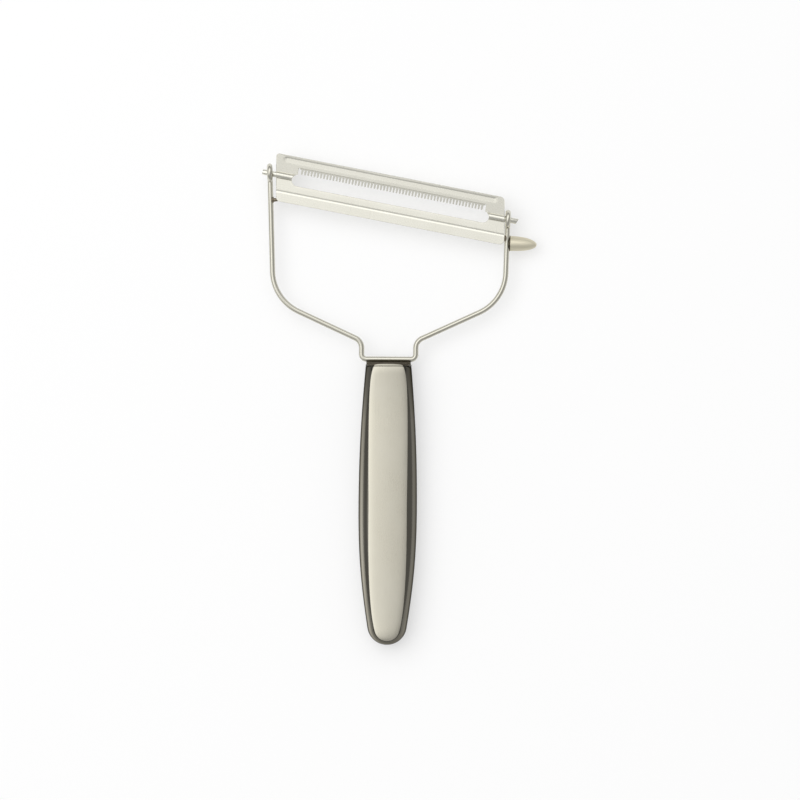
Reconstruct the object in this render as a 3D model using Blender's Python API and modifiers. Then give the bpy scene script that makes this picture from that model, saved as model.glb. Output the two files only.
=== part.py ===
"""A wide julienne peeler: a hollow steel handle, a bow bent from one wire, and a toothed blade that
swings in the two eyes of the bow.

It lies on the flat back of its handle. +Y runs from the heel of the handle to the blade, +Z is up
from the table, and the origin is the middle of the back panel. Lengths are in metres. Each piece is
placed in the frame of the handle, whose origin is the tip of the heel, half way through the handle.
"""

from math import asin, ceil, cos, pi, radians, sin, tan

import bmesh
import bpy
from mathutils import Matrix, Vector, geometry

# Clearances
touch_gap = 0.0003  # between pieces that rest on each other or are welded together
cutter_overrun = 0.002  # how far a cutter runs past what it cuts
merge_distance = 0.000003  # points closer than this are one point

# Handle shells
handle_length = 0.1142  # from the heel to the open top
handle_half_width = 0.0120  # at the widest place
handle_widest_height = 0.0565
handle_top_half_width = 0.0094
handle_half_thickness = 0.0065
heel_radius = 0.00815
heel_flare = radians(9)  # lean of the side where it leaves the round heel
top_taper = radians(5)  # lean of the side at the open top
shell_wall = 0.0009
side_width = 0.00395  # from the seam in to the panel, seen from the front, at the widest place
side_top_width = 0.0032
side_heel_width = 0.00295  # how much smaller the panel's round end is than the heel
panel_heel_inset = 0.0016
panel_heel_flare = radians(15)
panel_top_taper = radians(19)
side_sweep = radians(56)  # the part of a quarter ellipse that a side follows from seam to panel
flank_pull_shares = ((0.38, 0.38), (0.36, 0.36))  # Bezier handles over chord, lower then upper
panel_pull_shares = ((0.15, 0.55), (0.77, 0.10))

# Top cap
cap_edge = 0.0004
cap_rise = 0.0008  # how far the crown of the cap stands over its edge
plug_depth = 0.0040

# Bow
wire_radius = 0.0011
crossbar_overhang = 0.0017  # from the side of the handle's top to the middle of the stub
crossbar_bend = 0.0020
stub_rise = 0.0074
stub_bend = 0.0044
shoulder_slope = radians(24.7)
shoulder_bend = 0.0185
bow_half_span = 0.04745  # at the corner of shoulder and arm
arm_splay = radians(1.8)

# Pivot
pivot_rise = 0.06655  # from the crossbar to the middle of the axis
pivot_slope = radians(10.7)  # the axis drops to the right
pin_radius = 0.00115
pin_play = 0.0005
pin_tail = 0.0020  # how far the left pin shows past its eye
pin_root = 0.0015  # how far a pin reaches into its channel
left_side_gap = 0.0015  # from the blade's edge to the eye

# Blade
sheet = 0.0007
blade_lower_depth = 0.0106  # from the axis to the lower edge
blade_upper_depth = 0.0087
upper_lean = radians(5)  # the strip's toothed edge leans back, towards the food
corner_radii = {"lower_left": 0.0016, "lower_right": 0.0020, "upper_right": 0.0020, "upper_left": 0.0012}
channel_swell = 0.0002  # how much larger the channel is than the pin
channel_fillet = 0.0004
sheet_set_back = 0.00045  # from the axis back to the middle of the sheet
groove_middle = 0.0065  # from the axis down to the groove in the lower strip
groove_width = 0.0015
groove_floor_share = 0.4
groove_depth = 0.0003
slot_lower_edge = 0.0031
slot_end_radius = 0.00235
slot_end_land = 0.0066
rib_middle = 0.00675
rib_half_width = 0.00125
rib_end_land = 0.0032
rib_depth = 0.0003
rib_edge_radius = 0.0003

# Teeth
tooth_strip_top = 0.0044
tooth_tip_height = 0.0019
tooth_length = 0.0020
tooth_pitch = 0.001316
tooth_gap = 0.0004  # at the roots
tooth_tip_width = 0.00055
tooth_thickness = 0.0004
tooth_lean = radians(10)  # the points lean back further
tooth_bite = 0.0004  # how far the comb reaches into the strip that carries it
tooth_end_slit = 0.00045

# Stop pegs
peg_root_radius = 0.0008
peg_tip_radius = 0.00055
peg_reach = 0.0034
peg_drop = {"left": 0.0108, "right": 0.0076}  # from the eye down the arm

# Eye gouger
gouger_length = 0.0102
gouger_half_width = 0.0025  # of the hollow; the sheet adds to it
gouger_depth = 0.0018
gouger_rim_drop = 0.0009  # from the middle of the arm back to the scoop's rim
gouger_droop = 0.0002  # of the nose towards the handle
gouger_sheet = 0.0008
gouger_drop = 0.0096
gouger_nose_power = 2.4

# Counts
arc_step = radians(10)
heel_steps = 6
flank_steps = 8
side_rings = 5
curl_step = radians(18)
wire_bevel_resolution = 3
round_segments = 20
crown_segments = 144
gouger_columns = 10
gouger_rows = 8

# Places that follow from the sizes
left, right = -1, 1
up = Vector((0, 0, 1))
cap_bottom = handle_length + touch_gap
crown_height = cap_bottom + cap_edge + cap_rise
crossbar_height = crown_height + touch_gap + wire_radius
stub_half_span = handle_top_half_width + crossbar_overhang
stub_height = crossbar_height + stub_rise
shoulder_height = stub_height + (bow_half_span - stub_half_span) * tan(shoulder_slope)
arm_direction = {side: Vector((side * sin(arm_splay), cos(arm_splay), 0)) for side in (left, right)}
curl_radius = pin_radius + pin_play + wire_radius  # to the middle of the wire
pivot_lift = curl_radius  # the eyes curl forward from the arms
channel_radius = pin_radius + channel_swell - sheet / 2  # to the middle of the sheet
slot_middle = slot_end_radius - slot_lower_edge


def arc(centre, radius, start, end, steps):
    """Points on an arc in the XY plane, with both ends."""
    turns = [start + (end - start) * step / steps for step in range(steps + 1)]
    return [Vector((centre[0] + radius * cos(turn), centre[1] + radius * sin(turn), 0)) for turn in turns]


def rounded_path(corners, closed=False):
    """Points along straight runs, where each (corner, radius) is rounded by an arc."""
    points = []
    for index, (corner, radius) in enumerate(corners):
        at_end = not closed and index in (0, len(corners) - 1)
        if at_end or not radius:
            points.append(corner)
            continue
        before = (corners[index - 1][0] - corner).normalized()
        after = (corners[(index + 1) % len(corners)][0] - corner).normalized()
        half_angle = before.angle(after) / 2
        centre = corner + (before + after).normalized() * (radius / sin(half_angle))
        start = corner + before * (radius / tan(half_angle)) - centre
        end = corner + after * (radius / tan(half_angle)) - centre
        steps = max(2, ceil((pi - 2 * half_angle) / arc_step))
        points += [centre + radius * start.slerp(end, step / steps) for step in range(steps + 1)]
    return points


def collection(name):
    made = bpy.data.collections.new(name)
    bpy.context.scene.collection.children.link(made)
    return made


def steel(name, colour, roughness):
    material = bpy.data.materials.new(name)
    material.use_nodes = True
    shader = material.node_tree.nodes["Principled BSDF"]
    shader.inputs["Base Color"].default_value = (*colour, 1)
    shader.inputs["Metallic"].default_value = 1
    shader.inputs["Roughness"].default_value = roughness
    material.diffuse_color = (*colour, 1)
    return material


def empty(name, parent, place=(0, 0, 0), turn=0):
    """A frame that other objects are placed in, turned about Z."""
    made = bpy.data.objects.new(name, None)
    made.empty_display_size = handle_half_width
    made.parent = parent
    made.location = place
    made.rotation_euler.z = turn
    parts.objects.link(made)
    return made


def mesh_object(name, mesh, parent, where):
    made = bpy.data.objects.new(name, mesh)
    made.parent = parent
    where.objects.link(made)
    if where is tools:
        made.hide_render = True
        made.display_type = "WIRE"
    return made


def finished(piece, material):
    piece.data.materials.append(material)
    piece.data.shade_smooth()
    piece.data.set_sharp_from_angle(angle=radians(30))
    return piece


def mesh_from(name, build):
    """A mesh that the function build makes in a bmesh."""
    shape = bmesh.new()
    build(shape)
    mesh = bpy.data.meshes.new(name)
    shape.to_mesh(mesh)
    shape.free()
    return mesh


def grow(shape, geometry, vector):
    """Extrude faces or loose edges along a vector."""
    grown = bmesh.ops.extrude_face_region(shape, geom=geometry)["geom"]
    grown_verts = [item for item in grown if isinstance(item, bmesh.types.BMVert)]
    bmesh.ops.translate(shape, verts=grown_verts, vec=vector)


def plate_mesh(name, outline, thickness):
    """A flat plate whose middle lies on the XY plane."""

    def build(shape):
        lower = shape.faces.new([shape.verts.new(point - up * (thickness / 2)) for point in outline])
        grow(shape, [lower], up * thickness)
        bmesh.ops.recalc_face_normals(shape, faces=shape.faces)

    return mesh_from(name, build)


def solidify(piece, thickness, offset):
    modifier = piece.modifiers.new("Sheet", "SOLIDIFY")
    modifier.thickness = thickness
    modifier.offset = offset
    modifier.use_even_offset = True


def boolean(piece, operation, tool):
    modifier = piece.modifiers.new(tool.name, "BOOLEAN")
    modifier.operation = operation
    modifier.object = tool
    modifier.solver = "EXACT"


def half_outline(inset, radius, flare, widest, top, taper, pull_shares):
    """One side of the handle or of its panel, from the heel's middle to the open top."""
    points = arc((0, inset + radius), radius, -pi / 2, -flare, heel_steps)
    knots = (
        (points[-1], flare),
        (Vector((widest, handle_widest_height, 0)), 0),
        (Vector((top, handle_length, 0)), -taper),
    )
    for (start, leave), (end, arrive), (leave_share, arrive_share) in zip(knots, knots[1:], pull_shares):
        chord = (end - start).length
        leave_pull = chord * leave_share * Vector((sin(leave), cos(leave), 0))
        arrive_pull = chord * arrive_share * Vector((sin(arrive), cos(arrive), 0))
        points += geometry.interpolate_bezier(
            start, start + leave_pull, end - arrive_pull, end, flank_steps + 1
        )[1:]
    return points


def both_sides(points):
    """A right-hand outline from the heel up, with its mirror image before it."""
    return [Vector((-point.x, point.y, 0)) for point in reversed(points[1:])] + points


def side_profile(seam, panel):
    """Points from seam to panel, up the side of the handle, over the middle plane."""
    points = []
    for ring in range(side_rings + 1):
        sweep = side_sweep * ring / side_rings
        share = (cos(sweep) - cos(side_sweep)) / (1 - cos(side_sweep))
        rise = (handle_half_thickness - touch_gap / 2) * sin(sweep) / sin(side_sweep)
        points.append(panel.lerp(seam, share) + up * (touch_gap / 2 + rise))
    return points


def build_shell(shape):
    """The outer skin of the front shell: rings from the seam to the panel, and the flat panel."""
    seam = both_sides(
        half_outline(
            0,
            heel_radius,
            heel_flare,
            handle_half_width,
            handle_top_half_width,
            top_taper,
            flank_pull_shares,
        )
    )
    panel = both_sides(
        half_outline(
            panel_heel_inset,
            heel_radius - side_heel_width,
            panel_heel_flare,
            handle_half_width - side_width,
            handle_top_half_width - side_top_width,
            panel_top_taper,
            panel_pull_shares,
        )
    )
    columns = [[shape.verts.new(point) for point in side_profile(*ends)] for ends in zip(seam, panel)]
    for near, far in zip(columns, columns[1:]):
        for ring in range(side_rings):
            shape.faces.new((near[ring], far[ring], far[ring + 1], near[ring + 1]))
    shape.faces.new([column[-1] for column in columns])


def handle_shells(handle, material):
    mesh = mesh_from("handle_shell", build_shell)
    for name, turn in (("handle_front_shell", 0), ("handle_back_shell", pi)):
        shell = mesh_object(name, mesh.copy(), handle, parts)
        shell.rotation_euler.y = turn
        solidify(shell, shell_wall, -1)
        finished(shell, material)


def build_cap(shape):
    """A flange over both shells, and a plug that fits inside them."""
    seam = Vector((handle_top_half_width, 0, 0))
    panel = Vector((handle_top_half_width - side_top_width, 0, 0))
    quarter = side_profile(seam, panel)
    front = quarter + [Vector((-point.x, 0, point.z)) for point in reversed(quarter)]
    section = front + [Vector((-point.x, 0, -point.z)) for point in front]
    flange = shape.faces.new([shape.verts.new(point + Vector((0, cap_bottom, 0))) for point in section])
    grow(shape, [flange], (0, cap_edge + cap_rise + cutter_overrun, 0))
    bmesh.ops.inset_region(shape, faces=[flange], thickness=shell_wall + touch_gap, use_even_offset=True)
    plug = bmesh.ops.extrude_discrete_faces(shape, faces=[flange])["faces"]
    bmesh.ops.translate(shape, verts=plug[0].verts, vec=(0, -touch_gap - plug_depth, 0))
    bmesh.ops.recalc_face_normals(shape, faces=shape.faces)


def top_cap(handle, material):
    cap = mesh_object("handle_top_cap", mesh_from("handle_top_cap", build_cap), handle, parts)
    crown_radius = (handle_top_half_width**2 + cap_rise**2) / (2 * cap_rise)

    def build_crown(shape):
        bmesh.ops.create_cone(
            shape,
            cap_ends=True,
            segments=crown_segments,
            radius1=crown_radius,
            radius2=crown_radius,
            depth=2 * (handle_half_thickness + cutter_overrun),
        )

    crown = mesh_object("cap_crown_tool", mesh_from("cap_crown_tool", build_crown), handle, tools)
    crown.location.y = crown_height - crown_radius
    boolean(cap, "INTERSECT", crown)
    return finished(cap, material)


def pivot_place(side):
    """Where the blade's axis crosses the arm, in the handle's frame."""
    drop = tan(pivot_slope)
    spread = tan(arm_splay)
    middle = crossbar_height + pivot_rise
    foot = bow_half_span - shoulder_height * spread
    height = (middle - side * drop * foot) / (1 + side * drop * spread)
    return Vector((side * (foot + height * spread), height, pivot_lift))


def arm_place(side, drop):
    """The middle of the wire at this distance down the arm from the axis."""
    place = pivot_place(side) - arm_direction[side] * drop
    return Vector((place.x, place.y, 0))


def eye_curl(side):
    """Points round one eye, from the arm up, over the pin and back to the arm."""
    centre = pivot_place(side) + arm_direction[side] * (pin_play - touch_gap)
    last = 3 * pi / 2
    steps = ceil(last / curl_step)
    turns = [last * step / steps for step in range(steps + 1)]
    points = [centre + curl_radius * (sin(turn) * arm_direction[side] - cos(turn) * up) for turn in turns]
    return points + [points[-1] - up * (curl_radius - wire_radius - touch_gap)]


def bow_wire(handle, material):
    half = [
        (Vector((stub_half_span, crossbar_height, 0)), crossbar_bend),
        (Vector((stub_half_span, stub_height, 0)), stub_bend),
        (Vector((bow_half_span, shoulder_height, 0)), shoulder_bend),
    ]
    mirrored = [(Vector((-corner.x, corner.y, 0)), radius) for corner, radius in reversed(half)]
    curls = {side: eye_curl(side) for side in (left, right)}
    bends = rounded_path([(curls[left][0], 0), *mirrored, *half, (curls[right][0], 0)])
    path = curls[left][::-1] + bends[1:-1] + curls[right]
    curve = bpy.data.curves.new("bow_wire", "CURVE")
    curve.dimensions = "3D"
    curve.bevel_depth = wire_radius
    curve.bevel_resolution = wire_bevel_resolution
    curve.use_fill_caps = True
    spline = curve.splines.new("POLY")
    spline.points.add(len(path) - 1)
    for point, place in zip(spline.points, path):
        point.co = (*place, 1)
    spline.use_smooth = True
    curve.materials.append(material)
    return mesh_object("bow_wire", curve, handle, parts)


def blade_edges():
    """Where the blade's left and right edges lie along X, on the axis."""
    left_edge = pivot_place(left).x + wire_radius + left_side_gap
    right_edge = pivot_place(right).x - wire_radius - touch_gap
    return left_edge, right_edge


def blade_half_length():
    left_edge, right_edge = blade_edges()
    return (right_edge - left_edge) / 2 / cos(pivot_slope)


def skewed(outline_height):
    """The middle of the blade at this height over the axis: its ends run along the handle."""
    return -outline_height * tan(pivot_slope)


def sheet_profile():
    """The middle of the sheet from the lower to the upper edge, as (height, forward) points."""
    plane = -sheet_set_back
    half_groove = groove_width / 2
    half_floor = half_groove * groove_floor_share
    top = strip_forward(blade_upper_depth)
    corners = (
        (-blade_lower_depth - cutter_overrun, plane, 0),
        (-groove_middle - half_groove, plane, 0),
        (-groove_middle - half_floor, plane - groove_depth, 0),
        (-groove_middle + half_floor, plane - groove_depth, 0),
        (-groove_middle + half_groove, plane, 0),
        (-channel_radius, plane, channel_fillet),
        (-channel_radius, channel_radius, channel_radius),
        (channel_radius, channel_radius, channel_radius),
        (channel_radius, plane, channel_fillet),
        (blade_upper_depth, top, 0),
        (blade_upper_depth + cutter_overrun, top + cutter_overrun * tan(upper_lean), 0),
    )
    return rounded_path([(Vector((height, forward, 0)), radius) for height, forward, radius in corners])


def build_sheet(shape):
    reach = blade_half_length() + blade_lower_depth
    verts = [shape.verts.new((-reach, point.x, point.y)) for point in sheet_profile()]
    edges = [shape.edges.new(pair) for pair in zip(verts, verts[1:])]
    grow(shape, edges, (2 * reach, 0, 0))
    bmesh.ops.remove_doubles(shape, verts=shape.verts, dist=merge_distance)


def blank_outline():
    """The blade cut flat: a parallelogram with its own radius at each corner."""
    half = blade_half_length()
    low, high = -blade_lower_depth, blade_upper_depth
    corners = (
        (skewed(low) - half, low, corner_radii["lower_left"]),
        (skewed(low) + half, low, corner_radii["lower_right"]),
        (skewed(high) + half, high, corner_radii["upper_right"]),
        (skewed(high) - half, high, corner_radii["upper_left"]),
    )
    places = [(Vector((along, height, 0)), radius) for along, height, radius in corners]
    return rounded_path(places, closed=True)


def slot_half_length():
    """Half of the slot's straight part, which the teeth fill."""
    return blade_half_length() - slot_end_land - slot_end_radius


def slot_outline():
    """A slot with round ends, and the pocket over it that the toothed comb fills."""
    half = slot_half_length()
    meet = asin(tooth_end_slit / slot_end_radius)
    steps = ceil((pi - meet) / arc_step)
    side = arc((half, slot_middle), slot_end_radius, -pi / 2, pi / 2 - meet, steps)
    side.append(Vector((half + tooth_end_slit, tooth_strip_top, 0)))
    other = [Vector((-point.x, point.y, 0)) for point in reversed(side)]
    return [point + Vector((skewed(slot_middle), 0, 0)) for point in side + other]


def comb_outline():
    """The toothed comb, whose upper edge lies on the X axis and whose teeth point down."""
    half = slot_half_length()
    count = int(2 * half / tooth_pitch)
    root = tooth_tip_height - tooth_strip_top + tooth_length
    tip = root - tooth_length
    half_root = (tooth_pitch - tooth_gap) / 2
    half_tip = tooth_tip_width / 2
    points = [Vector((half, tooth_bite, 0)), Vector((-half, tooth_bite, 0)), Vector((-half, root, 0))]
    for index in range(count):
        middle = (index + 1 / 2 - count / 2) * tooth_pitch
        points += [
            Vector((middle - half_root, root, 0)),
            Vector((middle - half_tip, tip, 0)),
            Vector((middle + half_tip, tip, 0)),
            Vector((middle + half_root, root, 0)),
        ]
    return points + [Vector((half, root, 0))]


def rib_outline():
    half = blade_half_length() - rib_end_land - rib_half_width
    side = arc((half, 0), rib_half_width, -pi / 2, pi / 2, ceil(pi / arc_step / 2))
    return side + [Vector((-point.x, -point.y, 0)) for point in side]


def strip_forward(height):
    """How far forward of the axis the middle of the upper strip is at this height."""
    return (height - channel_radius) * tan(upper_lean) - sheet_set_back


def pin_tube(name, side, axis):
    """A rolled pin, from inside the channel to past the eye."""
    length = pin_root + left_side_gap + 2 * wire_radius + pin_tail

    def build(shape):
        bmesh.ops.create_cone(
            shape,
            cap_ends=False,
            segments=round_segments,
            radius1=pin_radius,
            radius2=pin_radius,
            depth=length,
            matrix=Matrix.Rotation(pi / 2, 4, "Y"),
        )

    pin = mesh_object(name, mesh_from(name, build), axis, tools)
    pin.location.x = side * (blade_half_length() - pin_root + length / 2)
    solidify(pin, sheet, -1)
    return pin


def julienne_blade(axis, material):
    """One sheet: formed, cut to its outline, slotted, toothed, ribbed, with its ends rolled to pins."""
    blade = mesh_object("julienne_blade", mesh_from("julienne_blade", build_sheet), axis, parts)
    solidify(blade, sheet, 0)
    through = 2 * (blade_lower_depth + blade_upper_depth)
    blank = mesh_object("blank_tool", plate_mesh("blank_tool", blank_outline(), through), axis, tools)
    slot = mesh_object("slot_tool", plate_mesh("slot_tool", slot_outline(), through), axis, tools)
    boolean(blade, "INTERSECT", blank)
    boolean(blade, "DIFFERENCE", slot)

    comb = mesh_object("comb_tool", plate_mesh("comb_tool", comb_outline(), tooth_thickness), axis, tools)
    comb.location = (skewed(slot_middle), tooth_strip_top, strip_forward(tooth_strip_top))
    comb.rotation_euler.x = tooth_lean
    boolean(blade, "UNION", comb)

    strip_normal = Vector((0, -sin(upper_lean), cos(upper_lean)))
    strip_place = Vector((skewed(rib_middle), rib_middle, strip_forward(rib_middle)))
    for name, operation, lift in (
        ("rib_back_tool", "UNION", -rib_depth),
        ("rib_front_tool", "DIFFERENCE", sheet - rib_depth),
    ):
        rib = mesh_object(name, plate_mesh(name, rib_outline(), sheet), axis, tools)
        rib.location = strip_place + strip_normal * lift
        rib.rotation_euler.x = upper_lean
        rounded = rib.modifiers.new("Rounded", "BEVEL")
        rounded.width = rib_edge_radius
        rounded.segments = 2
        boolean(blade, operation, rib)

    for name, side in (("left_pin_tool", left), ("right_pin_tool", right)):
        boolean(blade, "UNION", pin_tube(name, side, axis))
    return finished(blade, material)


def stop_peg(name, side, drop, handle, material):
    """A tapered peg from the arm in behind the blade, whose tip carries the blade's back face."""
    foot = arm_place(side, drop)
    sheet_back = pivot_lift - sheet_set_back - sheet / 2
    tip = foot + Vector((-side * peg_reach, 0, sheet_back - touch_gap - peg_tip_radius))
    direction = (tip - foot).normalized()
    start = foot + direction * (wire_radius + touch_gap)
    turned = direction.to_track_quat("Z", "Y").to_matrix().to_4x4()

    def build(shape):
        bmesh.ops.create_cone(
            shape,
            cap_ends=True,
            segments=round_segments,
            radius1=peg_root_radius,
            radius2=peg_tip_radius,
            depth=(tip - start).length,
            matrix=Matrix.Translation((start + tip) / 2) @ turned,
        )

    peg = mesh_object(name, mesh_from(name, build), handle, parts)
    return finished(peg, material)


def build_gouger(shape):
    """The hollow back of the scoop: its root lies on the Y axis and it tapers along X to a round nose."""
    bmesh.ops.create_grid(shape, x_segments=gouger_columns, y_segments=gouger_rows, size=1)
    for vert in shape.verts:
        along = sin((vert.co.x + 1) / 2 * pi / 2)
        across = vert.co.y
        width_share = max(0, 1 - along**gouger_nose_power) ** 0.5
        hollow = gouger_depth * width_share * (1 - across**2)
        vert.co.x = along * gouger_length
        vert.co.y = across * width_share * gouger_half_width - gouger_droop * along**2
        vert.co.z = hollow - gouger_rim_drop
    bmesh.ops.remove_doubles(shape, verts=shape.verts, dist=merge_distance)


def eye_gouger(handle, material):
    gouger = mesh_object("eye_gouger", mesh_from("eye_gouger", build_gouger), handle, parts)
    root = arm_place(right, gouger_drop)
    gouger.location = root + Vector((wire_radius + touch_gap, 0, 0))
    gouger.rotation_euler.z = -arm_splay
    solidify(gouger, gouger_sheet, 1)
    return finished(gouger, material)


for old in list(bpy.data.objects):
    bpy.data.objects.remove(old)

parts = collection("Julienne peeler")
tools = collection("Tools")

satin = steel("Satin steel", (0.60, 0.58, 0.52), 0.32)
wire_steel = steel("Wire steel", (0.63, 0.61, 0.54), 0.25)
blade_steel = steel("Blade steel", (0.74, 0.73, 0.67), 0.30)
gouger_steel = steel("Gouger steel", (0.66, 0.62, 0.50), 0.35)

table = empty("peeler", None)
handle = empty("handle_frame", table, (0, -handle_length / 2, handle_half_thickness))
blade_middle = sum(blade_edges()) / 2
axis_place = (blade_middle, crossbar_height + pivot_rise - blade_middle * tan(pivot_slope), pivot_lift)
blade_axis = empty("blade_axis", handle, axis_place, -pivot_slope)

handle_shells(handle, satin)
top_cap(handle, satin)
bow_wire(handle, wire_steel)
julienne_blade(blade_axis, blade_steel)
stop_peg("left_stop_peg", left, peg_drop["left"], handle, wire_steel)
stop_peg("right_stop_peg", right, peg_drop["right"], handle, wire_steel)
eye_gouger(handle, gouger_steel)
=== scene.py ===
"""Looks of the julienne peeler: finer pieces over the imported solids, steel materials, floor, light
and a camera straight over the peeler, as in the photograph.

Lengths are in metres. Each fixed piece is placed in the frame of the handle, whose origin is the tip
of the heel, half way through the handle. The blade is placed in the frame of its own axis.
"""

from math import asin, ceil, cos, hypot, pi, radians, sin, sqrt, tan

import bmesh
import bpy
from mathutils import Matrix, Vector, geometry


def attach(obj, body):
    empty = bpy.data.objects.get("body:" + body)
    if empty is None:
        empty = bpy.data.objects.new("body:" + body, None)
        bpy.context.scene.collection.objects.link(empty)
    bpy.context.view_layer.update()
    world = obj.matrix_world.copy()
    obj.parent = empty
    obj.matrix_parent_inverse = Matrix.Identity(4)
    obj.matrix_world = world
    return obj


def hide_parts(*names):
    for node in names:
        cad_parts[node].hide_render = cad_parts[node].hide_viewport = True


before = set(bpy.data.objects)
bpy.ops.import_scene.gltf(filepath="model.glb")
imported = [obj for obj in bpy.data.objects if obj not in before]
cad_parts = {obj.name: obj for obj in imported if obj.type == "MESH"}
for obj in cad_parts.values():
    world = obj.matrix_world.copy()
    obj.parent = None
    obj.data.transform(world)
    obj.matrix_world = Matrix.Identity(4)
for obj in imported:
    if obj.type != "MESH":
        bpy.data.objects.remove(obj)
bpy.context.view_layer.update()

# Handle, as in the solids
touch_gap = 0.0003
handle_length = 0.1142
handle_half_width = 0.0120
handle_widest_height = 0.0565
handle_top_half_width = 0.0094
handle_half_thickness = 0.0065
heel_radius = 0.00815
heel_flare = radians(9)
top_taper = radians(5)
shell_wall = 0.0009
side_width = 0.00395
side_top_width = 0.0032
side_heel_width = 0.00295
panel_heel_inset = 0.0016
panel_heel_flare = radians(15)
panel_top_taper = radians(19)
side_sweep = radians(56)
flank_pull_shares = ((0.38, 0.38), (0.36, 0.36))
panel_pull_shares = ((0.15, 0.55), (0.77, 0.10))
cap_edge = 0.0004
cap_rise = 0.0008

# Handle, finer forms
panel_crown = {"front": 0.00052, "back": 0.00008}  # how much lower the long edges are than the middle
crown_bow_share = 0.68  # of the crown that is an even bow; the rest is near the edge
crown_power = 8
shoulder_reach = 0.003  # length over which the panel's top end falls away
shoulder_fall = 0.00018
crease_reach = 0.0004  # how far the soft bend between side and panel reaches each way
seam_gap = 0.00004  # from the middle plane to each shell, in the polished seam
seam_groove = 0.00014
cap_seam = 0.00005
cap_edge_radius = 0.0002
cap_shade_share = 0.4  # of the cap's edge, painted dark as the shadow under the crossbar
cap_arch_power = 6  # how square the shoulders of the cap's bright lip are
cap_arch_share = 0.04  # of the cap's edge, left of the bright lip at its ends

# Bow, as in the solids
wire_radius = 0.0011
crossbar_overhang = 0.0017
crossbar_bend = 0.0020
stub_rise = 0.0074
stub_bend = 0.0044
shoulder_slope = radians(24.7)
shoulder_bend = 0.0185
bow_half_span = 0.04745
arm_splay = radians(1.8)
pivot_rise = 0.06655
pivot_slope = radians(10.7)
pin_radius = 0.00115
pin_play = 0.0005
pin_tail = 0.0020
pin_root = 0.0015
left_side_gap = 0.0015

# Blade, as in the solids
sheet = 0.0007
blade_lower_depth = 0.0106
blade_upper_depth = 0.0087
upper_lean = radians(5)
corner_radii = {"lower_left": 0.0016, "lower_right": 0.0020, "upper_right": 0.0020, "upper_left": 0.0012}
channel_swell = 0.0002
channel_fillet = 0.0004
sheet_set_back = 0.00045
groove_middle = 0.0065
groove_width = 0.0015
slot_lower_edge = 0.0031
slot_end_radius = 0.00235
slot_end_land = 0.0066
rib_middle = 0.00675
rib_half_width = 0.00125
rib_end_land = 0.0032

# Teeth, as in the solids
tooth_strip_top = 0.0044
tooth_tip_height = 0.0019
tooth_length = 0.0020
tooth_pitch = 0.001316
tooth_gap = 0.0004
tooth_tip_width = 0.00055
tooth_thickness = 0.0004
tooth_lean = radians(10)
tooth_bite = 0.0004
tooth_end_slit = 0.00045

# Stop pegs and gouger, as in the solids
peg_root_radius = 0.0008
peg_tip_radius = 0.00055
peg_reach = 0.0034
peg_drop = {"left": 0.0108, "right": 0.0076}
gouger_length = 0.0102
gouger_half_width = 0.0025  # of the hollow; the sheet adds to it
gouger_depth = 0.0018
gouger_rim_drop = 0.0009
gouger_droop = 0.0002
gouger_sheet = 0.0008
gouger_drop = 0.0096
gouger_nose_power = 2.4

# Finer forms of the small pieces
groove_depth = 0.00012  # less than half of the solids' groove, as its faint shading in the photo shows
rib_depth = 0.00015  # at its top edge; it slopes forward to nothing at its foot
rib_wall_share = 0.35  # of the rib's half width, taken by its soft wall
sheet_edge_radius = 0.00014
tooth_edge_radius = 0.00006
pin_wall = 0.0006
pin_neck = 0.0009  # length over which the channel draws in to the pin
pin_seam = radians(14)  # half of the slit that the rolled pin leaves at its back
pin_end_round = 0.0002
pin_slant = radians(18)  # cut of the right pin's free end
gouger_rim_radius = 0.00025
weld_radius = 0.00035
weld_flare = 0.0005
weld_lift_share = 2 / 3  # of the scoop's sheet, from its hollow to the middle of the weld
peg_foot_share = 2 / 3  # of the wire's radius, where the peg's foot starts inside the wire
pin_root_share = 2 / 3  # of the channel's swell over the pin, taken up by the pin's root
tooth_round_share = 0.8  # of half the tooth's tip
bend_limit_share = 1 / 3  # of the side's sweep that the soft bend may take

# Grid steps
arc_step = radians(4)
bend_step = radians(12)
heel_steps = 20
flank_steps = 40
side_rings = 10
crease_steps = 5
panel_columns = 24
row_step = 0.0022
fine_step = 0.00022
least_step = 0.00006
round_segments = 40
gouger_columns = 28
gouger_rows = 20
flare_steps = 3
peg_tip_steps = 5
wire_rings = 7
edge_segments = 3
tooth_edge_segments = 2
floor_cells = 24
merge_distance = 0.000002

# Shading of the meshes
smooth_angle = radians(40)
fine_smooth_angle = radians(35)
edge_angle = radians(50)
flat_face_weight = 80

# Photograph's frame
frame_width = 0.328
frame_centre = (0.00477, 0.0433)
frame_turn = 0.00615
camera_distance = 2.0
sensor = 0.036
millimetres = 1000  # in a metre, for the camera's own sizes
floor_half = 3.0

# Steel grain: scales are in lines per metre along X, Y and Z
cloud_scale = (90, 60, 90)
hair_scale = (2600, 70, 2600)
lengthwise = (9000, 260, 9000)
crosswise = (260, 7000, 7000)
pitted = (5000, 5000, 5000)
line_detail = 4
cloud_detail = 2
noise_roughness = 0.55
hair_roughness = 0.4
hair_range = (0.68, 0.74)  # of the noise, from no scratch to a full one
edge_range = (0.52, 0.60)  # of the pointiness, from a flat face to a rubbed edge
tone_range = (0.3, 0.7)  # of the grain's noise
grain_share = 0.6  # of the tone; the clouds make the rest
gloss_share = 0.2  # by which the grain changes the roughness
hair_tone = 0.02
hair_gloss = 0.08
edge_tone = 0.06
edge_gloss = 0.04
# Painted reflection streak along the handle's sides
painted_streak_height = 0.0036
painted_streak_width = 0.0016
painted_streak_flank_shares = (2.6, 0.1)  # of the painted reflection streak, on the left and on the right flank
painted_streak_heel_shares = (1.7, 0.4)  # of the painted reflection streak, at the heel and at the top
top_shade_reach = 0.022  # how far down the handle the painted shade near its top reaches
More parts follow.
